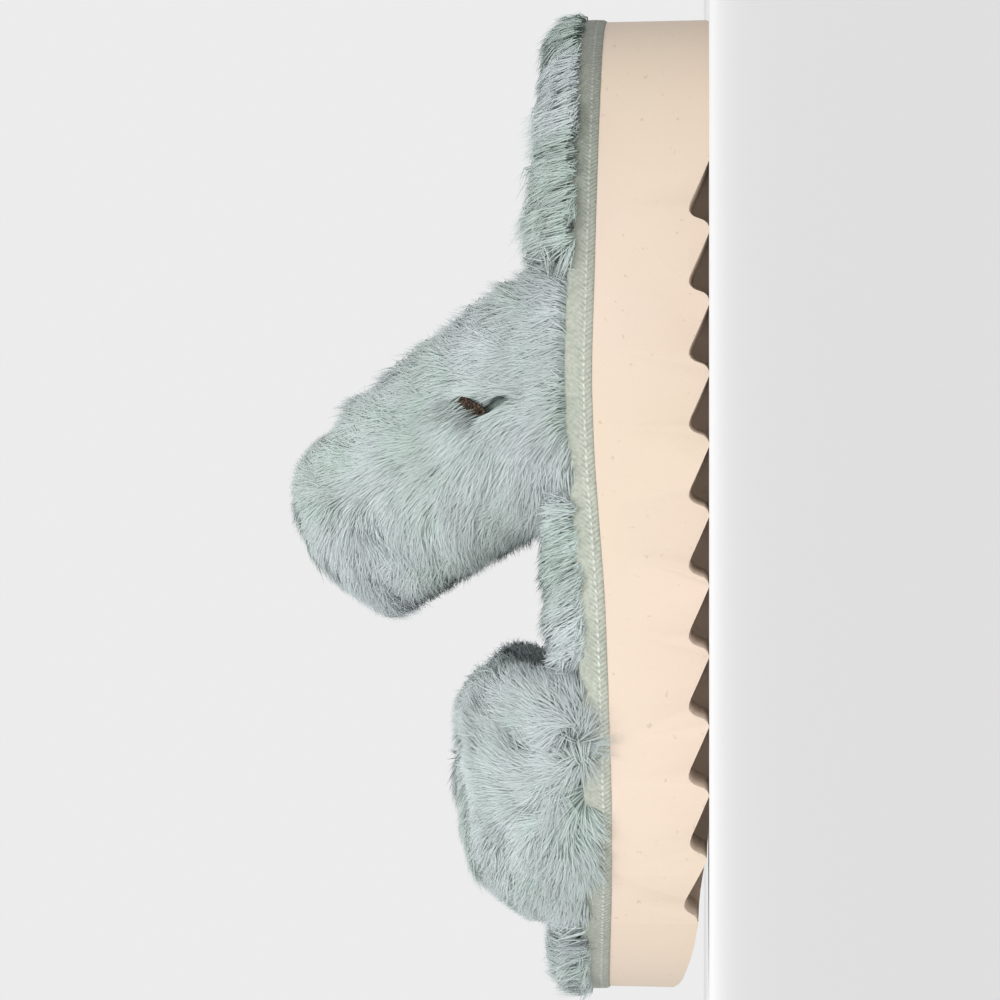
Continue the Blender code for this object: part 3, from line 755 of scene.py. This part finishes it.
def growFur(name, count, point, spans, lay, pile, keep=None, edgeShade=None, wraps=False):
    # point(u, v, depth); spans are the ranges of u and v; lay(u, v, place) is in metres along u and v
    count = int(count * strandShare)
    roots = np.column_stack([
        rng.uniform(spans[0][0], spans[0][1], count * 3), rng.uniform(spans[1][0], spans[1][1], count * 3)])
    small = 1e-3
    depth = pile["depth"]

    def frameAt(uv):
        place = point(uv[:, 0], uv[:, 1], depth)
        u, v = uv[:, 0], uv[:, 1]
        alongU = (point(u + small, v, depth) - point(u - small, v, depth)) / (2 * small)
        alongV = (point(u, v + small, depth) - point(u, v - small, depth)) / (2 * small)
        normal = np.cross(alongU, alongV)
        normal /= np.maximum(np.linalg.norm(normal, axis=1), 1e-12)[:, None]
        return place, alongU, alongV, normal

    place, alongU, alongV, normal = frameAt(roots)
    area = np.linalg.norm(np.cross(alongU, alongV), axis=1)
    chance = np.minimum(area / np.quantile(area, 0.9), 1.5)
    if keep is not None:
        chance = chance * keep(roots, place)
    chosen = np.flatnonzero(rng.uniform(size=len(roots)) < chance * strands["kept"])[:count]
    roots, place, normal = roots[chosen], place[chosen], normal[chosen]
    alongU, alongV = alongU[chosen], alongV[chosen]
    count = len(roots)
    outwardSign = np.sign(np.median(np.sum(normal * (place - pile["heart"](place)), axis=1)))
    speedU = np.linalg.norm(alongU, axis=1)
    speedV = np.linalg.norm(alongV, axis=1)
    # tufts: each strand leans towards the middle of its tuft
    covered = np.mean(area) * (spans[0][1] - spans[0][0]) * (spans[1][1] - spans[1][0])
    tuftCount = int(np.clip(covered / pile["tuft"] ** 2, 8, count))
    tufts = rng.choice(count, size=tuftCount, replace=False)
    tree = KDTree(len(tufts))
    for i, k in enumerate(tufts):
        tree.insert(place[k], i)
    tree.balance()
    found = [tree.find(p) for p in place]
    tuft = np.array([f[1] for f in found])
    away = np.array([f[2] for f in found])
    toTuft = roots[tufts][tuft] - roots
    if wraps:
        toTuft[:, 0] = np.mod(toTuft[:, 0] + 0.5, 1.0) - 0.5
    span3 = np.hypot(toTuft[:, 0] * speedU, toTuft[:, 1] * speedV)
    near = (span3 < 1.6 * away + 0.001)[:, None]
    toTuft = toTuft * near
    tuftLength = rng.uniform(0.82, 1.12, len(tufts))[tuft]
    tuftTurn = rng.normal(0, pile["stray"], len(tufts))[tuft]
    tuftTone = rng.normal(0, 1, len(tufts))[tuft]
    direction = lay(roots[:, 0], roots[:, 1], place)
    direction = direction / np.maximum(np.linalg.norm(direction, axis=1), 1e-6)[:, None]
    turn = tuftTurn + 0.35 * noise(place, 0.03, 3) + rng.normal(0, 0.20, count)
    turned = np.column_stack([
        direction[:, 0] * np.cos(turn) - direction[:, 1] * np.sin(turn),
        direction[:, 0] * np.sin(turn) + direction[:, 1] * np.cos(turn)])
    run = pile["length"] * tuftLength * rng.uniform(0.7, 1.15, count)
    rise = pile["height"] * tuftLength * rng.uniform(0.55, 1.2, count) * (1 + 0.20 * noise(place, 0.018, 5))
    if "bulk" in pile:
        rise = rise * pile["bulk"](roots, place)
    stepUv = turned * run[:, None] / np.column_stack([speedU, speedV])
    gather = pile["gather"] * rng.uniform(0.3, 1.0, count)
    levels = np.array([0.0, strands["bendAt"], 1.0])
    spine = []
    normals = []
    for t in levels:
        uv = roots + stepUv * t + toTuft * (gather * t**1.2)[:, None]
        at, _, _, up = frameAt(uv)
        up = up * outwardSign
        if "lowest" in pile:
            up[:, 2] = np.maximum(up[:, 2], pile["lowest"])
        lift = rise * (1 - (1 - t) ** 1.9) * (1 - 0.10 * t)
        spine.append(at + up * lift[:, None])
        normals.append(up)
    spine = np.array(spine)  # level, strand, xyz
    # hairs that would lie over the tack stay short beside it
    middlePart = (spine[1] + spine[2]) / 2
    closest = np.minimum(np.minimum(nearTack(spine[1]), nearTack(spine[2])), nearTack(middlePart))
    kept = np.where(closest < tack["room"], strands["crossingLength"], 1.0)
    spine[1:] = spine[0] + (spine[1:] - spine[0]) * kept[:, None]
    clear = np.minimum(nearTack(spine[1]), nearTack(spine[2])) > tack["room"] * 0.7
    fromTack = nearTack(place)
    run3 = spine[-1] - spine[0]
    across = np.cross(run3, normals[1])
    across /= np.maximum(np.linalg.norm(across, axis=1), 1e-12)[:, None]
    roll = rng.normal(0, 0.28, count)
    across = across * np.cos(roll)[:, None] + normals[1] * np.sin(roll)[:, None]
    width = strands["width"] * rng.uniform(0.7, 1.25, count)
    rows = []
    for level, taper in enumerate((0.9, 1.0)):
        half = across * (width * taper / 2)[:, None]
        rows += [spine[level] + half, spine[level] - half]
    rows.append(spine[2])
    vertices = np.stack(rows, 1)
    # soft shading: mostly the pile's own surface, turned a little by each tuft
    tuftLean = rng.normal(0, 0.16, (len(tufts), 3))[tuft]
    soft = []
    for level in (0, 0, 1, 1, 2):
        tilt = normals[level] + tuftLean + 0.22 * run3 / np.linalg.norm(run3, axis=1)[:, None]
        tilt = tilt + rng.normal(0, 0.07, (count, 3))
        soft.append(tilt / np.linalg.norm(tilt, axis=1)[:, None])
    soft = np.stack(soft, 1)
    # colour: dark green roots, mint to grey-blue body, pale tips
    green = np.clip(0.45 + 0.8 * noise(place, 0.040, 8) + 0.14 * tuftTone, 0, 1)[:, None]
    if pile.get("greenFoot"):
        green = np.clip(green + pile["greenFoot"](roots)[:, None], 0, 1)
    body = np.array(strands["mint"]) * (1 - green) + np.array(strands["green"]) * green
    cool = np.clip(0.40 + 0.7 * noise(place, 0.035, 9) - 0.3 * green[:, 0], 0, 1)[:, None]
    body = body * (1 - cool * 0.8) + np.array(strands["grey"]) * cool * 0.8
    tip = np.tile(np.array(strands["tip"]), (count, 1)) * (1 - 0.08 * green)
    # painted shade: near the band edges and up the footbed rim the tips turn darker grey and the body darkens
    if edgeShade is not None:
        edge = edgeShade(roots, place)[:, None]
        tip = tip * (1 - edge) + np.array(strands["rimTipShade"]) * edge
        body = body * (1 - 0.18 * edge)
    tone = (1 + 0.035 * tuftTone + rng.normal(0, 0.03, count) + 0.05 * noise(place, 0.012, 12))[:, None]
    # painted shadow of the parting: strand colours darken towards the tack
    partingShade = np.clip((fromTack - 0.0004) / 0.0022, 0.25, 1)[:, None]
    root = np.array(strands["root"]) * tone * partingShade
    middle = root * 0.25 + body * 0.75 * tone * partingShade**0.6
    colours = np.stack([root, root, middle, middle, (body * 0.35 + tip * 0.65) * tone * partingShade**0.15], 1)
    vertices, soft, colours = vertices[clear], soft[clear], colours[clear]
    count = len(vertices)
    vertices = toWorld(vertices.reshape(-1, 3))
    soft = soft.reshape(-1, 3)
    colours = np.clip(colours, 0, 1).reshape(-1, 3)
    base = np.arange(count)[:, None] * 5
    loops = np.concatenate([base + np.array([0, 1, 3, 2]), base + np.array([2, 3, 4])], 1).reshape(-1)
    starts = (np.arange(count)[:, None] * 7 + np.array([0, 4])).reshape(-1)
    mesh = bpy.data.meshes.new(name)
    mesh.vertices.add(len(vertices))
    mesh.vertices.foreach_set("co", vertices.astype(np.float32).reshape(-1))
    mesh.loops.add(len(loops))
    mesh.loops.foreach_set("vertex_index", loops.astype(np.int32))
    mesh.polygons.add(len(starts))
    mesh.polygons.foreach_set("loop_start", starts.astype(np.int32))
    mesh.update(calc_edges=True)
    # the ribbon's face and its soft normal look the same way
    first = vertices.reshape(count, 5, 3)
    faceUp = np.cross(first[:, 1] - first[:, 0], first[:, 2] - first[:, 0])
    if np.median(np.sum(faceUp * soft.reshape(count, 5, 3)[:, 0], axis=1)) < 0:
        mesh.flip_normals()
    attribute = mesh.color_attributes.new("strandColour", "FLOAT_COLOR", "POINT")
    rgba = np.column_stack([colours, np.ones(len(colours))])
    attribute.data.foreach_set("color", rgba.astype(np.float32).reshape(-1))
    mesh.materials.append(strandCoat)
    mesh.shade_smooth()
    mesh.normals_split_custom_set_from_vertices(soft.tolist())
    piece = bpy.data.objects.new(name, mesh)
    bpy.context.scene.collection.objects.link(piece)
    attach(piece, "root")
    print(name, count, "strands")


def upOf(v):
    return np.clip((0.5 - v) * 4, -1, 1)


def instepLay(u, v, place):
    return np.column_stack([-0.85 + 1.85 * u + 0.5 * (1 - np.abs(upOf(v))), upOf(v) * 0.95])


def toeLay(u, v, place):
    low = np.minimum(v, 1 - v)
    reach = np.clip(0.02 + low * 6, 0.02, 0.85)
    return np.column_stack([
        (u - 0.33) * 1.7 + 0.35 * (1 - np.abs(upOf(v))) + 0.20 * noise(place, 0.010, 21),
        upOf(v) * reach + 0.20 * noise(place, 0.010, 22)])


def bedHeart(at):
    heart = at.copy()
    heart[..., :2] = spinePoint(at[..., 1])
    heart[..., 2] = 0.012
    return heart


# share of painted shade towards a band's rear and front edge
def bandEdgeShade(roots, place):
    return np.clip(1 - np.minimum(roots[:, 0], 1 - roots[:, 0]) / 0.20, 0, 1)


def footGreen(roots):
    return np.clip(0.35 - np.minimum(roots[:, 1], 1 - roots[:, 1]) * 2.2, 0, 0.35)


def instepBulk(roots, place):
    low = np.exp(-((np.minimum(roots[:, 1], 1 - roots[:, 1]) - 0.17) / 0.10) ** 2)
    return 1 + 0.30 * low * np.clip(1 - roots[:, 0] / 0.22, 0, 1)


def rimBulk(roots, place):
    return 1 + 0.62 * np.exp(-((place[:, 1] - 0.050) / 0.017) ** 2)


bandPile = {"length": 0.0092, "height": 0.0055, "gather": 0.40, "tuft": 0.0030, "stray": 0.20,
            "depth": 0.0034, "heart": bandHeart, "greenFoot": footGreen}
instepPile = dict(bandPile, bulk=instepBulk)
rimPile = {"length": 0.0080, "height": 0.0060, "gather": 0.45, "lowest": -0.05, "tuft": 0.0034, "stray": 0.24,
           "depth": 0.0028, "heart": bedHeart, "bulk": rimBulk}
plushPile = {"length": 0.0060, "height": 0.0052, "gather": 0.35, "tuft": 0.0036, "stray": 0.25,
             "depth": 0.0028, "heart": bedHeart}

instepRolled = rolledPoint(instepPoint, instepBand["width"], 0.012, 0.985, 0.0028)
toeRolled = rolledPoint(toePoint, toeBand["width"], 0.055, 0.995, 0.0028)
for name, low, high, count in (("instepFurOuter", -0.014, 0.5, 62000), ("instepFurInner", 0.5, 1.014, 50000)):
    growFur(name, count, instepRolled, ((0.0, 1.0), (low, high)), instepLay, instepPile,
            edgeShade=bandEdgeShade)
for name, low, high, count in (("toeFurOuter", -0.014, 0.5, 50000), ("toeFurInner", 0.5, 1.014, 40000)):
    growFur(name, count, toeRolled, ((0.0, 1.0), (low, high)), toeLay, bandPile,
            edgeShade=bandEdgeShade)


def footbedLay(u, v, place):
    side, y = around(u)
    return np.column_stack([np.where(side < 0, 1.0, -1.0) * 0.6, np.full_like(u, 0.85)])


def clearOfBands(roots, place):
    side, y = around(roots[:, 0])
    return 1 - underBand(y, side)


# share of painted shade up the footbed rim
def rimUpperShade(roots, place):
    return np.clip((roots[:, 1] - 0.2) / 0.3, 0, 1) * 0.8


growFur("footbedRimFur", 56000, footbedPoint, ((0.0, 1.0), (-0.02, 0.56)), footbedLay, rimPile,
        clearOfBands, rimUpperShade, wraps=True)

# the plush on top is laid out over the plan, so it has no seam along the middle
bedGrid = np.meshgrid(np.linspace(0, 1, 400), np.linspace(0.40, 1, 60))
bedSamples = np.column_stack([v.ravel() for v in bedGrid])
bedPlaces = footbedPoint(bedSamples[:, 0], bedSamples[:, 1], np.full(len(bedSamples), 0.0))
heightTree = KDTree(len(bedPlaces))
for i, p in enumerate(bedPlaces):
    heightTree.insert((p[0], p[1], 0.0), i)
heightTree.balance()
planRows, planColumns = 140, 36
planY = np.linspace(0.004, length - 0.004, planRows)
planW = np.linspace(-1, 1, planColumns)
planHeight = np.zeros((planRows, planColumns))
for i, y in enumerate(planY):
    left, right = wallPoint(y, -1, 0.004), wallPoint(y, 1, 0.004)
    for j, w in enumerate(planW):
        flat = (left + right) / 2 + (right - left) / 2 * w
        near = heightTree.find_n((flat[0], flat[1], 0.0), 4)
        planHeight[i, j] = np.mean([bedPlaces[k[1]][2] for k in near])


def plushPoint(u, v, depth):
    # u runs from heel to toe, v from the lateral to the medial rim
    u, v, depth = np.broadcast_arrays(np.asarray(u, float), np.asarray(v, float), np.asarray(depth, float))
    y = np.clip(u, 0.0, 1.0) * (length - 0.012) + 0.006
    left, right = wallPoint(y, -1, 0.005), wallPoint(y, 1, 0.005)
    flat = (left + right) / 2 + (right - left) / 2 * (2 * v - 1)[..., None]
    row = np.clip((y - planY[0]) / (planY[-1] - planY[0]) * (planRows - 1), 0, planRows - 1.001)
    col = np.clip(v * (planColumns - 1), 0, planColumns - 1.001)
    i, j = row.astype(int), col.astype(int)
    fi, fj = row - i, col - j
    z = (planHeight[i, j] * (1 - fi) * (1 - fj) + planHeight[i + 1, j] * fi * (1 - fj)
         + planHeight[i, j + 1] * (1 - fi) * fj + planHeight[i + 1, j + 1] * fi * fj)
    return np.concatenate([flat, (z - depth)[..., None]], -1)


def plushLay(u, v, place):
    return np.column_stack([np.full_like(u, 0.9), 0.5 * (v - 0.5) + 0.3 * np.sin(place[:, 1] * 120)])


growFur("footbedPlush", 42000, plushPoint, ((0.0, 1.0), (0.0, 1.0)), plushLay, plushPile)

# Thread tack: a few wraps of dark thread in the parting


def threadMaterial(name, colour):
    material, nodes, links, shader = newMaterial(name, 0.7, 0.1)
    place = nodes.new("ShaderNodeTexCoord").outputs["Object"]
    fibres = noiseNode(nodes, links, place, 2500, 3)
    tone = rampNode(nodes, links, fibres.outputs["Fac"], (
        (0.3, tuple(c * 0.5 for c in colour)), (0.7, tuple(c * 1.4 for c in colour))))
    links.new(tone.outputs["Color"], shader.inputs["Base Color"])
    bumpNode(nodes, links, fibres.outputs["Fac"], shader, 0.6, 0.0002)
    return material


def surfaceNear(height, y):
    # the outer skin's point at this height and y on the outer side of the instep band
    us, vs = np.meshgrid(np.linspace(0, 1, 160), np.linspace(0, 0.5, 260))
    points = instepPoint(us.ravel(), vs.ravel(), np.zeros(us.size))
    return points[np.argmin((points[:, 2] - height) ** 2 + (points[:, 1] - y) ** 2)]


tackBm = bmesh.new()
start, middle = (surfaceNear(*tack[key]) for key in ("start", "middle"))
wrapCount = 11
tackOffset = np.array([0.0007, 0.0, 0.0])
for k in range(wrapCount):
    share = k / (wrapCount - 1)
    centre = start + (middle - start) * share + tackOffset
    centre = centre + rng.normal(0, 0.00015, 3)
    made = bmesh.ops.create_circle(tackBm, cap_ends=False, segments=6, radius=tack["radius"])
    verts = made["verts"]
    reach = 0.0009 + 0.0005 * math.sin(math.pi * share)
    bmesh.ops.translate(tackBm, verts=verts, vec=(reach, 0, 0))
    edges = list({e for v in verts for e in v.link_edges})
    spun = bmesh.ops.spin(tackBm, geom=verts + edges, cent=(0, 0, 0), axis=(0, 1, 0),
                          dvec=(0, 0, 0), angle=math.pi * 1.9, steps=14, use_merge=False)
    wrapVerts = set(verts)
    grow = list(verts)
    while grow:
        v = grow.pop()
        for e in v.link_edges:
            other = e.other_vert(v)
            if other not in wrapVerts:
                wrapVerts.add(other)
                grow.append(other)
    wrapVerts = list(wrapVerts)
    lean = Matrix.Rotation(rng.uniform(-0.6, 0.6) + 0.5, 3, "X") @ Matrix.Rotation(math.pi / 2, 3, "Z")
    bmesh.ops.rotate(tackBm, verts=wrapVerts, cent=(0, 0, 0), matrix=lean)
    bmesh.ops.translate(tackBm, verts=wrapVerts, vec=Vector(toWorld(centre)))
for face in tackBm.faces:
    face.material_index = 1 if rng.uniform() < 0.3 else 0
bmesh.ops.recalc_face_normals(tackBm, faces=tackBm.faces[:])
threadTack = addPiece("threadTack", tackBm, [
    threadMaterial("darkThread", tack["thread"]), threadMaterial("lightThread", tack["lightThread"])])
print("tack done")

# Studio: pale floor, soft lights and the camera at the photograph's angle

studio = {
    "floorColour": (0.86, 0.86, 0.86),
    "worldColour": (1.0, 1.0, 1.0),
    "worldStrength": 0.84,
    "keyEnergy": 0.42,
    "fillEnergy": 0.65,
    "cameraDistance": 0.595,
    "cameraY": -0.0017,
    "cameraHeight": 0.0015,
    "lens": 76.4,
    "aimZ": 0.0585,
    "keyPlace": (-0.62, 0.07, 0.50),
    "keyAim": (0, 0.045, 0.04),
    "keySize": (0.30, 0.30),
    "keySpread": math.radians(70),
    "fillPlace": (-1.2, 0.5, 0.20),
    "fillAim": (0, 0, 0.04),
    "fillSize": (0.8, 0.6),
}
floorBm = bmesh.new()
bmesh.ops.create_grid(floorBm, x_segments=8, y_segments=8, size=6.0)
floorMesh = bpy.data.meshes.new("paleFloor")
floorBm.to_mesh(floorMesh)
floorBm.free()
paleFloor = bpy.data.objects.new("paleFloor", floorMesh)
bpy.context.scene.collection.objects.link(paleFloor)
floorMaterial, nodes, links, shader = newMaterial("paleFloor", 0.9)
shader.inputs["Base Color"].default_value = (*studio["floorColour"], 1)
floorMesh.materials.append(floorMaterial)

world = bpy.data.worlds.new("softStudio")
world.use_nodes = True
world.node_tree.nodes["Background"].inputs["Color"].default_value = (*studio["worldColour"], 1)
world.node_tree.nodes["Background"].inputs["Strength"].default_value = studio["worldStrength"]
bpy.context.scene.world = world


def addLight(name, place, aim, size, energy, spread=math.pi):
    light = bpy.data.lights.new(name, "AREA")
    light.shape = "RECTANGLE"
    light.size, light.size_y = size
    light.energy = energy
    light.spread = spread
    lamp = bpy.data.objects.new(name, light)
    lamp.location = place
    lamp.rotation_euler = (Vector(aim) - Vector(place)).to_track_quat("-Z", "Y").to_euler()
    bpy.context.scene.collection.objects.link(lamp)


addLight("keyLight", studio["keyPlace"], studio["keyAim"], studio["keySize"], studio["keyEnergy"], studio["keySpread"])
addLight("fillLight", studio["fillPlace"], studio["fillAim"], studio["fillSize"], studio["fillEnergy"])
bpy.context.scene.view_settings.view_transform = "Standard"

camera = bpy.data.cameras.new("photoCamera")
camera.lens = studio["lens"]
camera.sensor_width = 36
camera.clip_start = 0.01
cameraObject = bpy.data.objects.new("photoCamera", camera)
cameraObject.location = (-studio["cameraDistance"], studio["cameraY"], studio["cameraHeight"])
view = (Vector((0, studio["cameraY"], studio["aimZ"])) - cameraObject.location).normalized()
down = Vector((0, 1, 0))  # picture down is the toe
right = view.cross(down).normalized()
up = right.cross(view).normalized()
if up.y > 0:
    right, up = -right, -up
cameraObject.matrix_world = Matrix((
    (right.x, up.x, -view.x, cameraObject.location.x),
    (right.y, up.y, -view.y, cameraObject.location.y),
    (right.z, up.z, -view.z, cameraObject.location.z),
    (0, 0, 0, 1)))
bpy.context.scene.collection.objects.link(cameraObject)
bpy.context.scene.camera = cameraObject

print("studio done")
